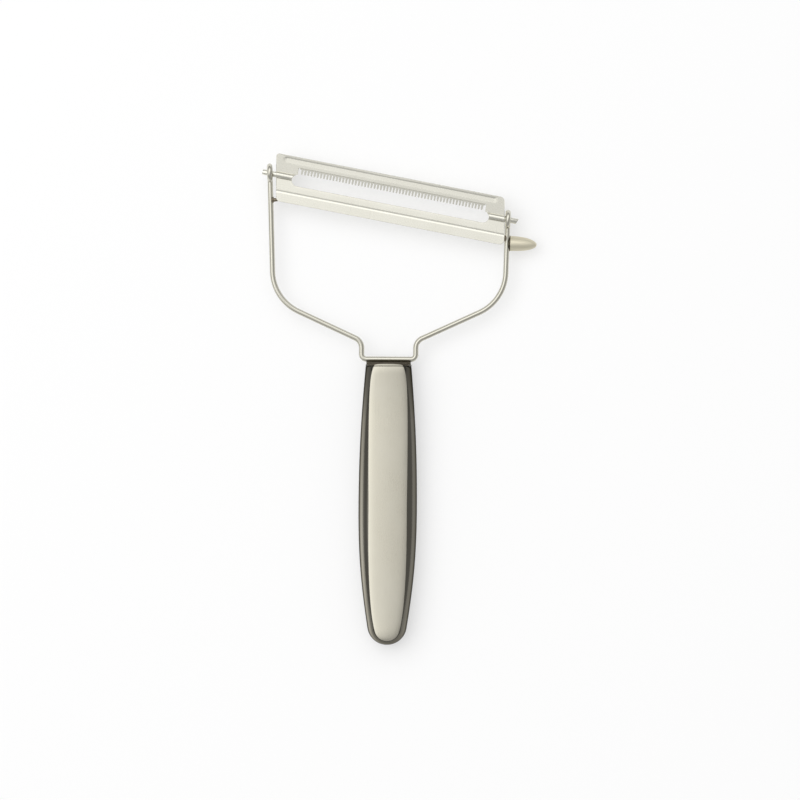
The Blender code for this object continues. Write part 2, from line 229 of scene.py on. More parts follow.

# Floor and light
floor_tone = (0.97, 0.97, 0.97, 1)
floor_roughness = 0.9
floor_specular = 0.1
floor_glow = 0.5  # how far the seen floor is lifted to white; the rest shows the object's shadow
light_side = 1.35  # how much brighter the ceiling gets per radian towards the left
light_top = 1.4
light_limit = 1.6
ceiling_start = 0.75  # sine of the height over the horizon
wall_top = 0.30
wall_level = 0.45
key_place = (-0.8, 0.6, 1.6)
key_size = (1.6, 1.6)
key_power = 10

# Places that follow from the sizes
left, right = -1, 1
up = Vector((0, 0, 1))
cap_bottom = handle_length + touch_gap
crown_height = cap_bottom + cap_edge + cap_rise
crossbar_height = crown_height + touch_gap + wire_radius
stub_half_span = handle_top_half_width + crossbar_overhang
stub_height = crossbar_height + stub_rise
shoulder_height = stub_height + (bow_half_span - stub_half_span) * tan(shoulder_slope)
arm_direction = {side: Vector((side * sin(arm_splay), cos(arm_splay), 0)) for side in (left, right)}
curl_radius = pin_radius + pin_play + wire_radius
pivot_lift = curl_radius
channel_radius = pin_radius + channel_swell - sheet / 2
slot_middle = slot_end_radius - slot_lower_edge
handle_place = Matrix.Translation((0, -handle_length / 2, handle_half_thickness))


# Helpers
def arc(centre, radius, start, end, steps):
    """Points on an arc in the XY plane, with both ends."""
    turns = [start + (end - start) * step / steps for step in range(steps + 1)]
    return [Vector((centre[0] + radius * cos(turn), centre[1] + radius * sin(turn), 0)) for turn in turns]


def rounded_path(corners, closed=False, turn_step=arc_step):
    """Points along straight runs, where each (corner, radius) is rounded by an arc."""
    points = []
    for index, (corner, radius) in enumerate(corners):
        at_end = not closed and index in (0, len(corners) - 1)
        if at_end or not radius:
            points.append(corner)
            continue
        before = (corners[index - 1][0] - corner).normalized()
        after = (corners[(index + 1) % len(corners)][0] - corner).normalized()
        half_angle = before.angle(after) / 2
        centre = corner + (before + after).normalized() * (radius / sin(half_angle))
        start = corner + before * (radius / tan(half_angle)) - centre
        end = corner + after * (radius / tan(half_angle)) - centre
        steps = max(2, ceil((pi - 2 * half_angle) / turn_step))
        points += [centre + radius * start.slerp(end, step / steps) for step in range(steps + 1)]
    return points


def mesh_from(name, build):
    """A mesh that the function build makes in a bmesh."""
    shape = bmesh.new()
    build(shape)
    bmesh.ops.remove_doubles(shape, verts=shape.verts, dist=merge_distance)
    bmesh.ops.dissolve_degenerate(shape, edges=shape.edges, dist=merge_distance)
    bmesh.ops.recalc_face_normals(shape, faces=shape.faces)
    mesh = bpy.data.meshes.new(name)
    shape.to_mesh(mesh)
    shape.free()
    return mesh


def grid_faces(shape, rows, closed=False):
    """Quads between rows of points, each row as long as the next."""
    lines = [[shape.verts.new(point) for point in row] for row in rows]
    for near, far in zip(lines, lines[1:]):
        count = len(near)
        for index in range(count if closed else count - 1):
            after = (index + 1) % count
            shape.faces.new((near[index], near[after], far[after], far[index]))
    return lines


def piece(name, data, place, body, materials, node=None):
    """A visible piece: placed, given its materials, and riding on its body."""
    made = bpy.data.objects.new(name, data)
    bpy.context.scene.collection.objects.link(made)
    made.matrix_world = place
    for material in materials:
        data.materials.append(material)
    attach(made, body)
    if node:
        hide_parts(node)
    return made


def smooth(made, angle):
    made.data.shade_smooth()
    made.data.set_sharp_from_angle(angle=angle)


def solidify(made, thickness, offset, even=True):
    modifier = made.modifiers.new("Sheet", "SOLIDIFY")
    modifier.thickness = thickness
    modifier.offset = offset
    modifier.use_even_offset = even
    modifier.use_quality_normals = True


def round_edges(made, width, segments=edge_segments):
    modifier = made.modifiers.new("Rounded edges", "BEVEL")
    modifier.width = width
    modifier.segments = segments
    modifier.limit_method = "ANGLE"
    modifier.angle_limit = edge_angle
    modifier.use_clamp_overlap = False
    shade_evenly(made)


def shade_evenly(made):
    """Flat faces keep their own shading up to their rounded edges."""
    modifier = made.modifiers.new("Even shading", "WEIGHTED_NORMAL")
    modifier.keep_sharp = True
    modifier.weight = flat_face_weight


# Handle shapes
def half_outline(inset, radius, flare, widest, top, taper, pull_shares):
    """One side of the handle or of its panel, from the heel's middle to the open top."""
    points = arc((0, inset + radius), radius, -pi / 2, -flare, heel_steps)
    knots = (
        (points[-1], flare),
        (Vector((widest, handle_widest_height, 0)), 0),
        (Vector((top, handle_length, 0)), -taper),
    )
    for (start, leave), (end, arrive), (leave_share, arrive_share) in zip(knots, knots[1:], pull_shares):
        chord = (end - start).length
        leave_pull = chord * leave_share * Vector((sin(leave), cos(leave), 0))
        arrive_pull = chord * arrive_share * Vector((sin(arrive), cos(arrive), 0))
        points += geometry.interpolate_bezier(
            start, start + leave_pull, end - arrive_pull, end, flank_steps + 1
        )[1:]
    return points


def seam_outline():
    return half_outline(
        0,
        heel_radius,
        heel_flare,
        handle_half_width,
        handle_top_half_width,
        top_taper,
        flank_pull_shares,
    )


def panel_outline():
    return half_outline(
        panel_heel_inset,
        heel_radius - side_heel_width,
        panel_heel_flare,
        handle_half_width - side_width,
        handle_top_half_width - side_top_width,
        panel_top_taper,
        panel_pull_shares,
    )


def side_point(seam, panel, sweep, crown):
    """A point up the side of the handle, over the middle plane."""
    share = (cos(sweep) - cos(side_sweep)) / (1 - cos(side_sweep))
    rise = (handle_half_thickness - crown - touch_gap / 2) * sin(sweep) / sin(side_sweep)
    return panel.lerp(seam, share) + up * (touch_gap / 2 + rise)


def panel_point(place, edge, crown):
    """The panel at this place, which falls away towards its edge, also round the heel."""
    below = min(0, place.y - panel_heel_inset - heel_radius + side_heel_width)
    share = hypot(place.x, below) / hypot(edge.x, below)
    fall = crown * (crown_bow_share * share**2 + (1 - crown_bow_share) * share**crown_power)
    fall += shoulder_fall * max(0, (place.y - handle_length) / shoulder_reach + 1) ** 2
    return Vector((place.x, place.y, handle_half_thickness - fall))


def half_section(seam, panel, crown):
    """From the seam up the side, round the soft bend and onto the panel, on the right-hand side."""
    inward = (panel - seam).normalized()
    width = (panel - seam).length
    bend_share = min(bend_limit_share, crease_reach / width / 2)
    last = side_sweep * (1 - bend_share)
    points = [side_point(seam, panel, last * ring / side_rings, crown) for ring in range(side_rings + 1)]
    bend_start = points.pop()
    corner = panel_point(panel, panel, crown)
    bend_end = panel_point(panel + inward * crease_reach, panel, crown)
    for step in range(crease_steps + 1):
        share = step / crease_steps
        points.append(bend_start.lerp(corner, share).lerp(corner.lerp(bend_end, share), share))
    return points


def full_section(seam, panel, crown):
    """From the right seam over the panel to the left seam."""
    half = half_section(seam, panel, crown)
    edge = half[-1]
    across = []
    for column in range(1, panel_columns):
        share = 1 - 2 * column / panel_columns
        across.append(panel_point(Vector((edge.x * share, edge.y, 0)), panel, crown))
    return half + across + [Vector((-point.x, point.y, point.z)) for point in reversed(half)]


def shell_rows(crown):
    rows = []
    for seam, panel in zip(seam_outline(), panel_outline()):
        section = full_section(seam, panel, crown)
        inward = (panel - seam).normalized() * seam_groove
        first = Vector((seam.x, seam.y, seam_gap)) + inward
        last = Vector((-first.x, first.y, first.z))
        rows.append([first, *section, last])
    return rows


def mark_sides(faces, per_row, margin):
    """Faces beside the panel take the second material."""
    for index, face in enumerate(faces):
        on_panel = margin <= index % per_row < per_row - margin
        face.material_index = 0 if on_panel else 1


def handle_shells(panel_steel, shaded_side_steel):
    for face, turn in (("front", 0), ("back", pi)):
        rows = shell_rows(panel_crown[face])

        def build(shape):
            grid_faces(shape, rows)
            mark_sides(shape.faces, len(rows[0]) - 1, side_rings + crease_steps)

        place = handle_place @ Matrix.Rotation(turn, 4, "Y")
        mesh = mesh_from("handle_" + face, build)
        materials = (panel_steel, shaded_side_steel)
        node = f"handle_{face}_shell"
        shell = piece("handle_" + face, mesh, place, "frame", materials, node)
        smooth(shell, smooth_angle)
        solidify(shell, shell_wall, -1)


def crown_at(along_x):
    """Height of the cap's crown over its edge."""
    return cap_rise * (1 - (along_x / handle_top_half_width) ** 2)


def build_cap(shape):
    seam = seam_outline()[-1]
    panel = panel_outline()[-1]
    front = full_section(seam, panel, panel_crown["front"])
    back = full_section(seam, panel, panel_crown["back"])
    back = [Vector((point.x, point.y, -point.z)) for point in back]
    low = handle_length + cap_seam
    lines = []
    for line in (front, back):
        bottom, middle, top = [], [], []
        for point in line:
            high = cap_bottom + cap_edge + crown_at(point.x)
            arch = sqrt(max(0, 1 - abs(point.x / panel.x) ** cap_arch_power))
            lip = low + (high - low) * max(cap_arch_share, (1 - cap_shade_share) * arch)
            bottom.append(Vector((point.x, low, point.z)))
            middle.append(Vector((point.x, lip, point.z)))
            top.append(Vector((point.x, high, point.z)))
        lines += [bottom, middle, top]
    ring = [*lines[:3], *reversed(lines[3:])]
    grid_faces(shape, (*ring, ring[0]))
    per_row = len(front) - 1
    mark_sides(shape.faces, per_row, side_rings + crease_steps)
    # The cap's upper band and top take the near-black weld material: painted shadow under the crossbar,
    # reaching down at the corners as painted shade.
    for index, face in enumerate(shape.faces):
        if index // per_row in (1, 2, 3):
            face.material_index = 2
    for end in (0, -1):
        side = shape.faces.new([shape.verts.new(row[end]) for row in ring])
        side.material_index = 1


def handle_cap(panel_steel, shaded_side_steel, cap_shadow_steel):
    mesh = mesh_from("top_cap", build_cap)
    materials = (panel_steel, shaded_side_steel, cap_shadow_steel)
    cap = piece("top_cap", mesh, handle_place, "frame", materials, "handle_top_cap")
    smooth(cap, smooth_angle)
    round_edges(cap, cap_edge_radius)


# Bow shapes
def pivot_place(side):
    """Where the blade's axis crosses the arm, in the handle's frame."""
    drop = tan(pivot_slope)
    spread = tan(arm_splay)
    middle = crossbar_height + pivot_rise
    foot = bow_half_span - shoulder_height * spread
    height = (middle - side * drop * foot) / (1 + side * drop * spread)
    return Vector((side * (foot + height * spread), height, pivot_lift))


def arm_place(side, drop):
    """The middle of the wire at this distance down the arm from the axis."""
    place = pivot_place(side) - arm_direction[side] * drop
    return Vector((place.x, place.y, 0))


def eye_curl(side):
    """Points round one eye, from the arm up, over the pin and back to the arm."""
    centre = pivot_place(side) + arm_direction[side] * (pin_play - touch_gap)
    last = 3 * pi / 2
    steps = ceil(last / arc_step)
    turns = [last * step / steps for step in range(steps + 1)]
    points = [centre + curl_radius * (sin(turn) * arm_direction[side] - cos(turn) * up) for turn in turns]
    return points + [points[-1] - up * (curl_radius - wire_radius - touch_gap / 2)]


def bow_path():
    half = [
        (Vector((stub_half_span, crossbar_height, 0)), crossbar_bend),
        (Vector((stub_half_span, stub_height, 0)), stub_bend),
        (Vector((bow_half_span, shoulder_height, 0)), shoulder_bend),
    ]
    mirrored = [(Vector((-corner.x, corner.y, 0)), radius) for corner, radius in reversed(half)]
    curls = {side: eye_curl(side) for side in (left, right)}
    bends = rounded_path([(curls[left][0], 0), *mirrored, *half, (curls[right][0], 0)])
    return curls[left][::-1] + bends[1:-1] + curls[right]


def tube(name, path, radius):
    curve = bpy.data.curves.new(name, "CURVE")
    curve.dimensions = "3D"
    curve.bevel_depth = radius
    curve.bevel_resolution = wire_rings
    curve.use_fill_caps = True
    spline = curve.splines.new("POLY")
    spline.points.add(len(path) - 1)
    for point, place in zip(spline.points, path):
        point.co = (*place, 1)
    spline.use_smooth = True
    return curve


def bow(wire_steel):
    wire = tube("bow", bow_path(), wire_radius)
    piece("bow", wire, handle_place, "frame", (wire_steel,), "bow_wire")


def build_crossbar_weld(shape):
    """A flat seam of weld metal between the crossbar and the cap's crown, near-black as painted contact
    shadow.
    """
    half = handle_top_half_width - touch_gap
    steps = panel_columns
    rows = []
    for depth_side, lift in ((-1, 0), (1, 0), (1, 1), (-1, 1)):
        row = []
        for step in range(steps + 1):
            along_x = half * (2 * step / steps - 1)
            low = cap_bottom + cap_edge + crown_at(along_x) - touch_gap
            height = crossbar_height - wire_radius + touch_gap if lift else low
            row.append(Vector((along_x, height, depth_side * weld_radius)))
        rows.append(row)
    grid_faces(shape, (*rows, rows[0]))
    for end in (0, -1):
        shape.faces.new([shape.verts.new(row[end]) for row in rows])


def crossbar_weld(weld_and_shadow_steel):
    weld = piece(
        "crossbar_weld",
        mesh_from("crossbar_weld", build_crossbar_weld),
        handle_place,
        "frame",
        (weld_and_shadow_steel,),
    )
    smooth(weld, smooth_angle)
    round_edges(weld, weld_radius / 2)


# Blade shapes
def blade_edges():
    """Where the blade's left and right edges lie along X, on the axis."""
    left_edge = pivot_place(left).x + wire_radius + left_side_gap
    right_edge = pivot_place(right).x - wire_radius - touch_gap
    return left_edge, right_edge


def blade_half_length():
    left_edge, right_edge = blade_edges()
    return (right_edge - left_edge) / 2 / cos(pivot_slope)


def blade_place():
    middle = sum(blade_edges()) / 2
    height = crossbar_height + pivot_rise - middle * tan(pivot_slope)
    place = handle_place @ Matrix.Translation((middle, height, pivot_lift))
    return place @ Matrix.Rotation(-pivot_slope, 4, "Z")


def skewed(outline_height):
    """The middle of the blade at this height over the axis: its ends run along the handle."""
    return -outline_height * tan(pivot_slope)


def strip_forward(height):
    """How far forward of the axis the middle of the upper strip is at this height."""
    return (height - channel_radius) * tan(upper_lean) - sheet_set_back


def spaced(start, end, step):
    """Even stations between two values, with the first and without the last."""
    count = max(1, round(abs(end - start) / step))
    return [start + (end - start) * index / count for index in range(count)]


def sheet_rows():
    """The middle of the sheet from its lower to its upper edge: (height, forward, run) stations."""
    plane = -sheet_set_back
    groove_low = -groove_middle - groove_width / 2
    groove_high = -groove_middle + groove_width / 2
    fillet_low = -channel_radius - channel_fillet
    strip_low = channel_radius + 2 * channel_fillet
    heights = spaced(-blade_lower_depth, groove_low, row_step)
    heights += spaced(groove_low, groove_high, fine_step / 2)
    heights += spaced(groove_high, fillet_low, row_step / 2)
    points = [Vector((height, plane - groove_dip(height), 0)) for height in heights]
    bend = (
        (Vector((fillet_low, plane, 0)), 0),
        (Vector((-channel_radius, plane, 0)), channel_fillet - merge_distance),
        (Vector((-channel_radius, channel_radius, 0)), channel_radius - merge_distance),
        (Vector((channel_radius, channel_radius, 0)), channel_radius - merge_distance),
        (Vector((channel_radius, plane, 0)), channel_fillet - merge_distance),
        (Vector((strip_low, strip_forward(strip_low), 0)), 0),
    )
    points += rounded_path(bend, turn_step=bend_step)
    rib_low = rib_middle - rib_half_width
    rib_high = rib_middle + rib_half_width
    heights = spaced(strip_low, rib_low, row_step / 2)[1:]
    heights += spaced(rib_low, rib_high, fine_step)
    heights += spaced(rib_high, blade_upper_depth, row_step / 2) + [blade_upper_depth]
    points += [Vector((height, strip_forward(height), 0)) for height in heights]
    rows = [(points[0].x, points[0].y, points[0].x)]
    for point in points[1:]:
        height, forward, run = rows[-1]
        step = hypot(point.x - height, point.y - forward)
        if step > least_step / 2:
            rows.append((point.x, point.y, run + step))
    return rows


def groove_dip(height):
    """Depth of the groove in the lower strip."""
    share = (height + groove_middle) / (groove_width / 2)
    if abs(share) >= 1:
        return 0
    return groove_depth * (1 + cos(pi * share)) / 2


def rib_dip(along, height):
    """Depth of the sunk rib in the upper strip, which has round ends and is deepest along its top."""
    half = blade_half_length() - rib_end_land - rib_half_width
    past = max(0, abs(along - skewed(rib_middle)) - half)
    lift = (height - rib_middle) / rib_half_width
    share = hypot(past / rib_half_width, lift)
    if share >= 1:
        return 0
    edge = min(1, (1 - share) / rib_wall_share)
    return rib_depth * edge * edge * (3 - 2 * edge) * (1 + lift) / 2


def run_at(rows, height):
    """Distance along the sheet at a height. On the steep walls of the channel it is the first one."""
    for (low, _, low_run), (high, _, high_run) in zip(rows, rows[1:]):
        if low <= height <= high and high > low:
            return low_run + (high_run - low_run) * (height - low) / (high - low)
    return rows[0][2] if height < rows[0][0] else rows[-1][2]


def blank_loop(inset):
    """The blade cut flat, this far inside its edge: a parallelogram with its own radius at each corner."""
    half = blade_half_length() - inset / cos(pivot_slope)
    low, high = inset - blade_lower_depth, blade_upper_depth - inset
    corners = (
        (skewed(low) - half, low, corner_radii["lower_left"]),
        (skewed(low) + half, low, corner_radii["lower_right"]),
        (skewed(high) + half, high, corner_radii["upper_right"]),
        (skewed(high) - half, high, corner_radii["upper_left"]),
    )
    path = [(Vector((along, height, 0)), radius - inset) for along, height, radius in corners]
    return rounded_path(path, closed=True)


def slot_half_length():
    """Half of the slot's straight part, which the teeth fill."""
    return blade_half_length() - slot_end_land - slot_end_radius


def slot_loop(inset):
    """A slot with round ends and the pocket over it that the comb fills, this far outside its edge."""
    half = slot_half_length()
    radius = slot_end_radius + inset
    meet = asin((tooth_end_slit + inset) / radius)
    steps = ceil((pi - meet) / arc_step)
    side = arc((half, slot_middle), radius, -pi / 2, pi / 2 - meet, steps)
    side.append(Vector((half + tooth_end_slit + inset, tooth_strip_top + inset, 0)))
    other = [Vector((-point.x, point.y, 0)) for point in reversed(side)]
    return [point + Vector((skewed(slot_middle), 0, 0)) for point in side + other]


def on_every_row(loop, rows):
    """A loop in heights turned into one in runs, with a point wherever it crosses a row."""
    own, crossings, laid = [], [], []
    for start, end in zip(loop, loop[1:] + loop[:1]):
        first, last = start.y, end.y
        laid.append((start.x, run_at(rows, first)))
        own.append(laid[-1])
        inside = [(height, run) for height, _, run in rows if min(first, last) < height < max(first, last)]
        if last < first:
            inside.reverse()
        for height, run in inside:
            share = (height - first) / (last - first)
            laid.append((start.x + (end.x - start.x) * share, run))
            crossings.append(laid[-1])
    return [place for place in laid if place not in own or clearance(crossings, *place) > least_step]


def holds(loop, x, y):
    """Whether a place lies inside a loop."""
    inside = False
    for (ax, ay), (bx, by) in zip(loop, loop[1:] + loop[:1]):
        if (ay > y) != (by > y) and x < (bx - ax) * (y - ay) / (by - ay) + ax:
            inside = not inside
    return inside


def clearance(loop, x, y):
    """Distance from a place to the nearest point of a loop."""
    return min(hypot(x - ax, y - ay) for ax, ay in loop)


def sheet_stations():
    """Where the columns of the sheet lie along the axis: close together past the slot's ends."""
    half = blade_half_length()
    fine_start = slot_half_length() - slot_end_radius
    reach = half + blade_lower_depth * tan(pivot_slope)
    side = spaced(0, fine_start, 2 * row_step)
    side += spaced(fine_start, reach, 3 * fine_step) + [reach]
    return [-along for along in reversed(side[1:])] + side


def row_links(line, loops, run):
    """Edges between neighbours on a row, where the sheet lies between them."""
    outer, hole = loops
    links = []
    for (first, here), (last, there) in zip(line, line[1:]):
        middle = (first + last) / 2
        if holds(outer, middle, run) and not holds(hole, middle, run):
            links.append((here, there))
    return links


def build_sheet(shape):
    """The formed sheet's middle: laid out flat, divided into rows, cut to its outline, and bent up."""
    rows = sheet_rows()
    places, edges = [], []
    edge_loops, inner_loops = (
        [on_every_row(blank_loop(inset), rows), on_every_row(slot_loop(inset), rows)]
        for inset in (0, sheet_edge_radius)
    )
    for loop in (*edge_loops, *inner_loops):
        first = len(places)
        places += [Vector(point) for point in loop]
        edges += [(first + index, first + (index + 1) % len(loop)) for index in range(len(loop))]
    inner_start = len(edge_loops[0]) + len(edge_loops[1])
    inner_end = len(places)
    outer, hole = inner_loops
    for height, _, run in rows[1:-1]:
        line = [
            (places[index].x, index)
            for index in range(inner_start, inner_end)
            if places[index].y == run
        ]
        for along in sheet_stations():
            x = along + skewed(height)
            if not holds(outer, x, run) or holds(hole, x, run):
                continue
            if min(clearance(outer, x, run), clearance(hole, x, run)) > fine_step:
                line.append((x, len(places)))
                places.append(Vector((x, run)))
        edges += row_links(sorted(line), inner_loops, run)
    flat = geometry.delaunay_2d_cdt(places, edges, [], 0, merge_distance / 10)
    outer, hole = edge_loops
    verts = []
    runs = [row[2] for row in rows]
    for point in flat[0]:
        verts.append(shape.verts.new(lifted(rows, runs, point)))
    for face in flat[2]:
        x = sum(flat[0][index].x for index in face) / len(face)
        y = sum(flat[0][index].y for index in face) / len(face)
        if holds(outer, x, y) and not holds(hole, x, y):
            shape.faces.new([verts[index] for index in face])
    loose = [vert for vert in shape.verts if not vert.link_faces]
    bmesh.ops.delete(shape, geom=loose, context="VERTS")


def lifted(rows, runs, point):
    """A flat place bent up to where the formed sheet holds it."""
    index = min(range(len(runs)), key=lambda i: abs(runs[i] - point.y))
    other = index + 1 if point.y > runs[index] else index - 1
    other = max(0, min(len(runs) - 1, other))
    span = runs[other] - runs[index]
    share = (point.y - runs[index]) / span if span else 0
    height = rows[index][0] + (rows[other][0] - rows[index][0]) * share
    forward = rows[index][1] + (rows[other][1] - rows[index][1]) * share
    return Vector((point.x, height, forward - rib_dip(point.x, height)))


def blade_sheet(blade_steel):
    made = piece(
        "blade_sheet",
        mesh_from("blade_sheet", build_sheet),
        blade_place(),
        "blade",
        (blade_steel,),
        "julienne_blade",
    )
    made.data.shade_smooth()
    shape = bmesh.new()
    shape.from_mesh(made.data)
    inner = [vert.index for vert in shape.verts if not vert.is_boundary]
    for edge in shape.edges:
        at_rim = {any(vert.is_boundary for vert in face.verts) for face in edge.link_faces}
        edge.smooth = len(at_rim) < 2
    shape.to_mesh(made.data)
    shape.free()
    made.vertex_groups.new(name="inner").add(inner, 1, "REPLACE")
    solidify(made, sheet, 0, even=False)
    made.modifiers["Sheet"].vertex_group = "inner"
    made.modifiers["Sheet"].thickness_vertex_group = 1 - 2 * sheet_edge_radius / sheet
    shade_evenly(made)


def tooth_points(middle, root, tip):
    """One tooth: tapered, with a round point."""
    half_root = (tooth_pitch - tooth_gap) / 2
    half_tip = tooth_tip_width / 2
    corners = (
        (Vector((middle - half_root, root, 0)), 0),
        (Vector((middle - half_tip, tip, 0)), half_tip * tooth_round_share),
        (Vector((middle + half_tip, tip, 0)), half_tip * tooth_round_share),
        (Vector((middle + half_root, root, 0)), 0),
    )
    return rounded_path(corners)


def build_comb(shape):
    """The toothed comb, whose upper edge lies on the X axis and whose teeth point down."""
    half = slot_half_length()
    count = int(2 * half / tooth_pitch)
    root = tooth_tip_height - tooth_strip_top + tooth_length
    tip = root - tooth_length
    outline = [Vector((half, tooth_bite, 0)), Vector((-half, tooth_bite, 0)), Vector((-half, root, 0))]
    for index in range(count):
        outline += tooth_points((index + 1 / 2 - count / 2) * tooth_pitch, root, tip)
    outline.append(Vector((half, root, 0)))
    lower = shape.faces.new([shape.verts.new(point - up * (tooth_thickness / 2)) for point in outline])
    grown = bmesh.ops.extrude_face_region(shape, geom=[lower])["geom"]
    top = [item for item in grown if isinstance(item, bmesh.types.BMVert)]
    bmesh.ops.translate(shape, verts=top, vec=up * tooth_thickness)


def comb(blade_steel):
    place = Matrix.Translation((skewed(slot_middle), tooth_strip_top, strip_forward(tooth_strip_top)))
    place = blade_place() @ place @ Matrix.Rotation(tooth_lean, 4, "X")
    made = piece(
        "blade_teeth",
        mesh_from("blade_teeth", build_comb),
        place,
        "blade",
        (blade_steel,),
    )
    smooth(made, fine_smooth_angle)
    round_edges(made, tooth_edge_radius, tooth_edge_segments)


def pin_mesh(side):
    """A rolled pin from inside the channel to past the eye, with a slit along its back."""
    length = pin_root + left_side_gap + 2 * wire_radius + pin_tail
    slant = tan(pin_slant) if side == right else 0
    swell = channel_radius + sheet / 2 - pin_radius

    def build(shape):
        outer, inner = [], []
        stations = [(0, 0), (pin_root, 0), (pin_root + pin_neck, 1)]
        stations += [(length - pin_end_round, 1), (length, 1)]
        steps = round_segments
        turns = [pi + pin_seam + (2 * pi - 2 * pin_seam) * step / steps for step in range(steps + 1)]
        for index, (along, drawn) in enumerate(stations):
            end_round = pin_end_round / 2 if index == len(stations) - 1 else 0
            radius = pin_radius + swell * (1 - drawn) * pin_root_share - end_round
            share = along / length
            row, bore = [], []
            for turn in turns:
                across, height = sin(turn), cos(turn)
                cut = -slant * pin_radius * (1 - across) * share
                place = Vector((side * (along + cut), across * radius, height * radius))
                row.append(place)
                bore_radius = pin_radius - pin_wall
                bore.append(Vector((place.x, across * bore_radius, height * bore_radius)))
            outer.append(row)
            inner.append(bore)
        grid_faces(shape, outer + inner[::-1])
        for end in (0, -1):
            pairs = zip(outer, outer[1:], inner, inner[1:])
            for near, far, near_bore, far_bore in pairs:
                corners = (near[end], far[end], far_bore[end], near_bore[end])
                shape.faces.new([shape.verts.new(point) for point in corners])
        bmesh.ops.remove_doubles(shape, verts=shape.verts, dist=merge_distance)
        grid_faces(shape, (outer[0], inner[0]))

    return mesh_from("pin", build)


def pins(blade_steel):
    for name, side in (("left_pin", left), ("right_pin", right)):
        start = side * (blade_half_length() - pin_root)
        place = blade_place() @ Matrix.Translation((start, 0, 0))
        made = piece(name, pin_mesh(side), place, "blade", (blade_steel,))
        smooth(made, fine_smooth_angle)


# Small pieces on the arms
def build_peg(side, drop):
    """A tapered peg with a round tip and a flare of weld at its foot."""
    foot = arm_place(side, drop)
    sheet_back = pivot_lift - sheet_set_back - sheet / 2
    tip = foot + Vector((-side * peg_reach, 0, sheet_back - touch_gap - peg_tip_radius))
    direction = (tip - foot).normalized()
    length = (tip - foot).length
    turned = Matrix.Translation(foot) @ direction.to_track_quat("Z", "Y").to_matrix().to_4x4()
    wide = peg_root_radius + weld_flare
    profile = [(wire_radius * peg_foot_share, wide), (wire_radius, wide)]
    for step in range(1, flare_steps + 1):
        share = step / flare_steps
        profile.append((wire_radius + weld_flare * share, peg_root_radius + weld_flare * (1 - share) ** 2))
    straight = length - peg_tip_radius / 2
    for step in range(peg_tip_steps + 1):
        turn = pi / 2 * step / peg_tip_steps
        profile.append((straight + peg_tip_radius / 2 * sin(turn), peg_tip_radius * cos(turn)))

    def build(shape):
        rows = []
        turns = [2 * pi * step / round_segments for step in range(round_segments)]
        for along, radius in profile:
            ring = [Vector((radius * cos(turn), radius * sin(turn), along)) for turn in turns]
            rows.append([turned @ point for point in ring])
        lines = grid_faces(shape, rows, closed=True)
        shape.faces.new(lines[0])

    return build


def stop_pegs(shaded_peg_steel):
    for name, node, side in (("left_peg", "left_stop_peg", left), ("right_peg", "right_stop_peg", right)):
        drop = peg_drop["left" if side == left else "right"]
        mesh = mesh_from(name, build_peg(side, drop))
        made = piece(name, mesh, handle_place, "frame", (shaded_peg_steel,), node)
        smooth(made, smooth_angle)


def gouger_point(along_share, across):
    """A point of the scoop's hollow back: along from root to nose, across from edge to edge."""
    along = sin(along_share * pi / 2)
    width_share = sqrt(max(0, 1 - along**gouger_nose_power))
    hollow = gouger_depth * width_share * (1 - across**2)
    y = across * width_share * gouger_half_width - gouger_droop * along**2
    return Vector((along * gouger_length, y, hollow - gouger_rim_drop))


def build_gouger(shape):
    rows = []
    for column in range(gouger_columns + 1):
        along = column / gouger_columns
        rows.append([gouger_point(along, 2 * step / gouger_rows - 1) for step in range(gouger_rows + 1)])
    grid_faces(shape, rows)


def weld_point(across):
    """A point along the gouger's root, in the outer part of its sheet."""
    outward = Vector((0, 2 * gouger_depth * across / gouger_half_width, 1)).normalized()
    point = gouger_point(0, across) + outward * (gouger_sheet * weld_lift_share)
    return point - Vector((weld_radius / 2, 0, 0))


def gouger_place():
    root = arm_place(right, gouger_drop) + Vector((wire_radius + touch_gap / 2, 0, 0))
    return handle_place @ Matrix.Translation(root) @ Matrix.Rotation(-arm_splay, 4, "Z")


def gouger(gouger_steel, weld_and_shadow_steel):
    made = piece(
        "gouger",
        mesh_from("gouger", build_gouger),
        gouger_place(),
        "frame",
        (gouger_steel,),
        "eye_gouger",
    )
    if made.data.polygons[0].normal.z < 0:
        made.data.flip_normals()
    smooth(made, smooth_angle)
    solidify(made, gouger_sheet, 1)
    round_edges(made, gouger_rim_radius)
    # The weld bead at the gouger's root is near-black as painted shadow in the gap by the wire
    path = [weld_point(2 * step / gouger_rows - 1) for step in range(gouger_rows + 1)]
    weld = tube("gouger_weld", path, weld_radius)
    piece("gouger_weld", weld, gouger_place(), "frame", (weld_and_shadow_steel,))


# Materials
def node(tree, kind, **inputs):
    made = tree.nodes.new(kind)
    for name, value in inputs.items():
        made.inputs[name.replace("_", " ")].default_value = value
    return made


def noise(tree, coordinates, stretch, detail, roughness=noise_roughness):
    mapping = node(tree, "ShaderNodeMapping", Scale=stretch)
    tree.links.new(coordinates, mapping.inputs["Vector"])
    texture = node(tree, "ShaderNodeTexNoise", Scale=1, Detail=detail, Roughness=roughness)
    tree.links.new(mapping.outputs["Vector"], texture.inputs["Vector"])
    return texture.outputs["Fac"]


def ranged(tree, value, low, high, to_low, to_high):
    made = node(tree, "ShaderNodeMapRange", From_Min=low, From_Max=high, To_Min=to_low, To_Max=to_high)
    tree.links.new(value, made.inputs["Value"])
    return made.outputs["Result"]


def combined(tree, operation, first, second):
    made = node(tree, "ShaderNodeMath")
    made.operation = operation
    for socket, value in zip(made.inputs, (first, second)):
        if isinstance(value, (int, float)):
            socket.default_value = value
        else:
            tree.links.new(value, socket)
    return made.outputs["Value"]


def added(tree, value, other, share):
    """A value with a share of another one on top."""
    return combined(tree, "ADD", value, combined(tree, "MULTIPLY", other, share))


def split(tree, vector):
    """The X, Y and Z of a vector."""
    apart = tree.nodes.new("ShaderNodeSeparateXYZ")
    tree.links.new(vector, apart.inputs[0])
    return apart.outputs


